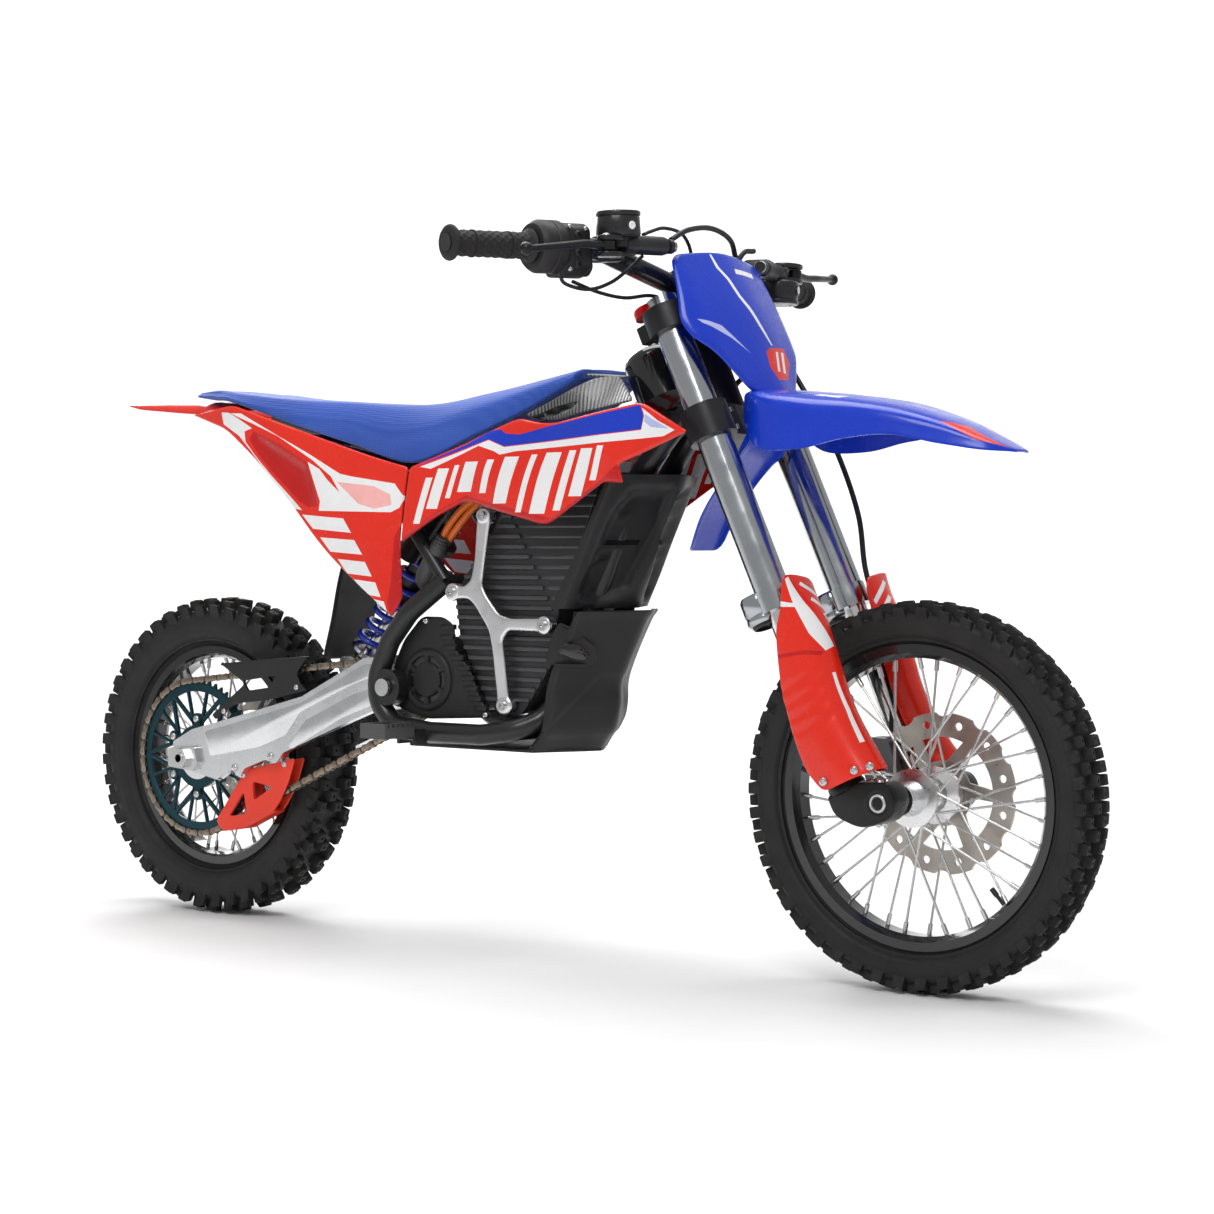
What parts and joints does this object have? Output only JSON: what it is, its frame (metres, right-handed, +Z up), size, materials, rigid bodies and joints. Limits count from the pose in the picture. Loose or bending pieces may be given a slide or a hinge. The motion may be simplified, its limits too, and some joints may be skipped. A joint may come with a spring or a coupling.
{
  "type": "motorcycle",
  "caption": "Youth electric motocross bike with spoked wheels, telescopic fork, swingarm with shock, chain drive, handlebar controls, seat, fenders and side panels.",
  "frame": {"origin": "on the ground under the middle of the bike's length, in its middle plane", "axes": "+X forward, +Y to the rider's left, +Z up"},
  "size_m": [1.6694, 0.804, 0.9628],
  "materials": {
    "frame_black": "satin black paint",
    "battery_cast": "cast, satin black",
    "brace_silver": "satin",
    "bolt_steel": "bright",
    "black_plastic": "moulded",
    "gloss_black": "gloss",
    "patterned_black": "woven-fibre pattern",
    "red_plastic": "moulded red",
    "blue_plastic": "moulded blue",
    "seat_vinyl": "textured blue cover",
    "polished_aluminium": "polished",
    "caliper_grey": "anodised",
    "chain_steel": "oiled",
    "hose_rubber": "matte",
    "tyre_rubber": "matte",
    "rim_black": "gloss black",
    "hub_silver": "polished",
    "sprocket_teal": "anodised dark teal",
    "disc_steel": "ground",
    "damper_orange": "anodised",
    "spring_blue": "powder coated",
    "clamp_grey": "black anodised",
    "fork_silver": "polished grey",
    "fork_chrome": "hard chrome",
    "bar_black": "satin black",
    "grip_rubber": "ribbed",
    "lever_black": "satin black",
    "button_red": "gloss",
    "peg_steel": "cast steel"
  },
  "bodies": {
    "frame": {"main_frame": "frame_black", "battery_case": "battery_cast", "battery_braces": "brace_silver", "frame_bolts": "bolt_steel", "belly_guard": "black_plastic", "side_covers": "black_plastic", "motor": "battery_cast", "drive_cover": "black_plastic", "head_cowl": "gloss_black", "rear_fender": "red_plastic", "side_panels": "red_plastic", "shrouds": "red_plastic", "top_cover": "patterned_black", "seat": "seat_vinyl"},
    "swingarm": {"swingarm": "polished_aluminium", "rear_axle": "bolt_steel", "chain_guard": "black_plastic", "chain_guide": "red_plastic", "rear_caliper": "caliper_grey", "drive_chain": "chain_steel", "rear_brake_hose_rear": "hose_rubber"},
    "rear_wheel": {"rear_tyre": "tyre_rubber", "rear_rim": "rim_black", "rear_spokes": "bolt_steel", "rear_hub": "hub_silver", "rear_sprocket": "sprocket_teal", "rear_brake_disc": "disc_steel"},
    "drive": {"drive_sprocket": "chain_steel"},
    "shock_upper": {"shock_body": "damper_orange", "shock_spring": "spring_blue"},
    "shock_lower": {"shock_rod": "bolt_steel"},
    "steering": {"upper_clamp": "clamp_grey", "lower_clamp": "clamp_grey", "fork_outer_tubes": "fork_silver", "handlebar": "bar_black", "left_grip": "grip_rubber", "throttle_housing": "black_plastic", "left_switch": "black_plastic", "master_cylinders": "clamp_grey", "number_plate": "blue_plastic", "front_fender": "blue_plastic", "control_wires": "hose_rubber", "rear_brake_hose_front": "hose_rubber"},
    "fork_lower": {"fork_inner_tubes": "fork_chrome", "fork_feet": "clamp_grey", "fork_guards": "red_plastic", "front_axle": "bolt_steel", "front_caliper": "caliper_grey", "front_brake_hose": "hose_rubber"},
    "front_wheel": {"front_tyre": "tyre_rubber", "front_rim": "rim_black", "front_spokes": "bolt_steel", "front_hub": "hub_silver", "front_brake_disc": "disc_steel"},
    "throttle": {"throttle_grip": "grip_rubber"},
    "right_lever": {"right_brake_lever": "lever_black"},
    "left_lever": {"left_brake_lever": "lever_black"},
    "stop": {"stop_button": "button_red"},
    "right_peg": {"right_foot_peg": "peg_steel"},
    "left_peg": {"left_foot_peg": "peg_steel"}
  },
  "joints": [
    {"name": "steering", "type": "hinge", "parent": "frame", "child": "steering", "pos_m": [0.28415, 0, 0.75915], "axis": [-0.4163, 0, 0.9092], "range_deg": [-40, 40], "deforming": ["rear_brake_hose_front"]},
    {"name": "fork_travel", "type": "slide", "parent": "steering", "child": "fork_lower", "axis": [-0.4163, 0, 0.9092], "range_m": [0, 0.15], "stiffness_N_per_m": 5200, "springref_m": -0.03, "deforming": ["front_brake_hose"]},
    {"name": "front_wheel_spin", "type": "hinge", "parent": "fork_lower", "child": "front_wheel", "pos_m": [0.59375, 0, 0.241], "axis": [0, 1, 0], "continuous": true},
    {"name": "swingarm_pivot", "type": "hinge", "parent": "frame", "child": "swingarm", "pos_m": [-0.17825, 0, 0.355], "axis": [0, 1, 0], "range_deg": [0, 22], "stiffness_Nm_per_rad": 700, "springref_deg": -6.88, "deforming": ["shock_spring", "drive_chain", "rear_brake_hose_rear"]},
    {"name": "rear_wheel_spin", "type": "hinge", "parent": "swingarm", "child": "rear_wheel", "pos_m": [-0.59925, 0, 0.2355], "axis": [0, 1, 0], "continuous": true},
    {"name": "drive_spin", "type": "hinge", "parent": "frame", "child": "drive", "pos_m": [-0.10425, 0, 0.372], "axis": [0, 1, 0], "continuous": true},
    {"name": "shock_swing", "type": "hinge", "parent": "frame", "child": "shock_upper", "pos_m": [-0.11325, 0, 0.64], "axis": [0, 1, 0], "range_deg": [0, 6]},
    {"name": "shock_stroke", "type": "slide", "parent": "shock_upper", "child": "shock_lower", "axis": [0.6402, 0, 0.7682], "range_m": [0, 0.06]},
    {"name": "throttle_twist", "type": "hinge", "parent": "steering", "child": "throttle", "pos_m": [0.18542, -0.33776, 0.91298], "axis": [-0.2958, -0.9547, -0.0314], "range_deg": [0, 75], "stiffness_Nm_per_rad": 0.25, "springref_deg": -17.19},
    {"name": "right_brake_pull", "type": "hinge", "parent": "steering", "child": "right_lever", "pos_m": [0.27071, -0.21454, 0.91703], "axis": [0, 0.0328, -0.9995], "range_deg": [0, 12], "stiffness_Nm_per_rad": 2, "springref_deg": -5.73},
    {"name": "left_brake_pull", "type": "hinge", "parent": "steering", "child": "left_lever", "pos_m": [0.27071, 0.21454, 0.91703], "axis": [0, 0.0328, 0.9995], "range_deg": [0, 12], "stiffness_Nm_per_rad": 2, "springref_deg": -5.73},
    {"name": "stop_press", "type": "slide", "parent": "steering", "child": "stop", "axis": [-0.9552, -0.2957, 0.0097], "range_m": [0, 0.001], "stiffness_N_per_m": 400, "springref_m": -0.001},
    {"name": "right_peg_fold", "type": "hinge", "parent": "frame", "child": "right_peg", "pos_m": [-0.12325, -0.131, 0.294], "axis": [-1, 0, 0], "range_deg": [0, 60], "stiffness_Nm_per_rad": 0.5, "springref_deg": -28.65},
    {"name": "left_peg_fold", "type": "hinge", "parent": "frame", "child": "left_peg", "pos_m": [-0.12325, 0.131, 0.294], "axis": [1, 0, 0], "range_deg": [0, 60], "stiffness_Nm_per_rad": 0.5, "springref_deg": -28.65}
  ],
  "couplings": [
    {"joint": "drive_spin", "follows": "rear_wheel_spin", "ratio": 3.7333},
    {"joint": "shock_swing", "follows": "swingarm_pivot", "ratio": 0.204},
    {"joint": "shock_stroke", "follows": "swingarm_pivot", "m_per_rad": 0.1415}
  ]
}
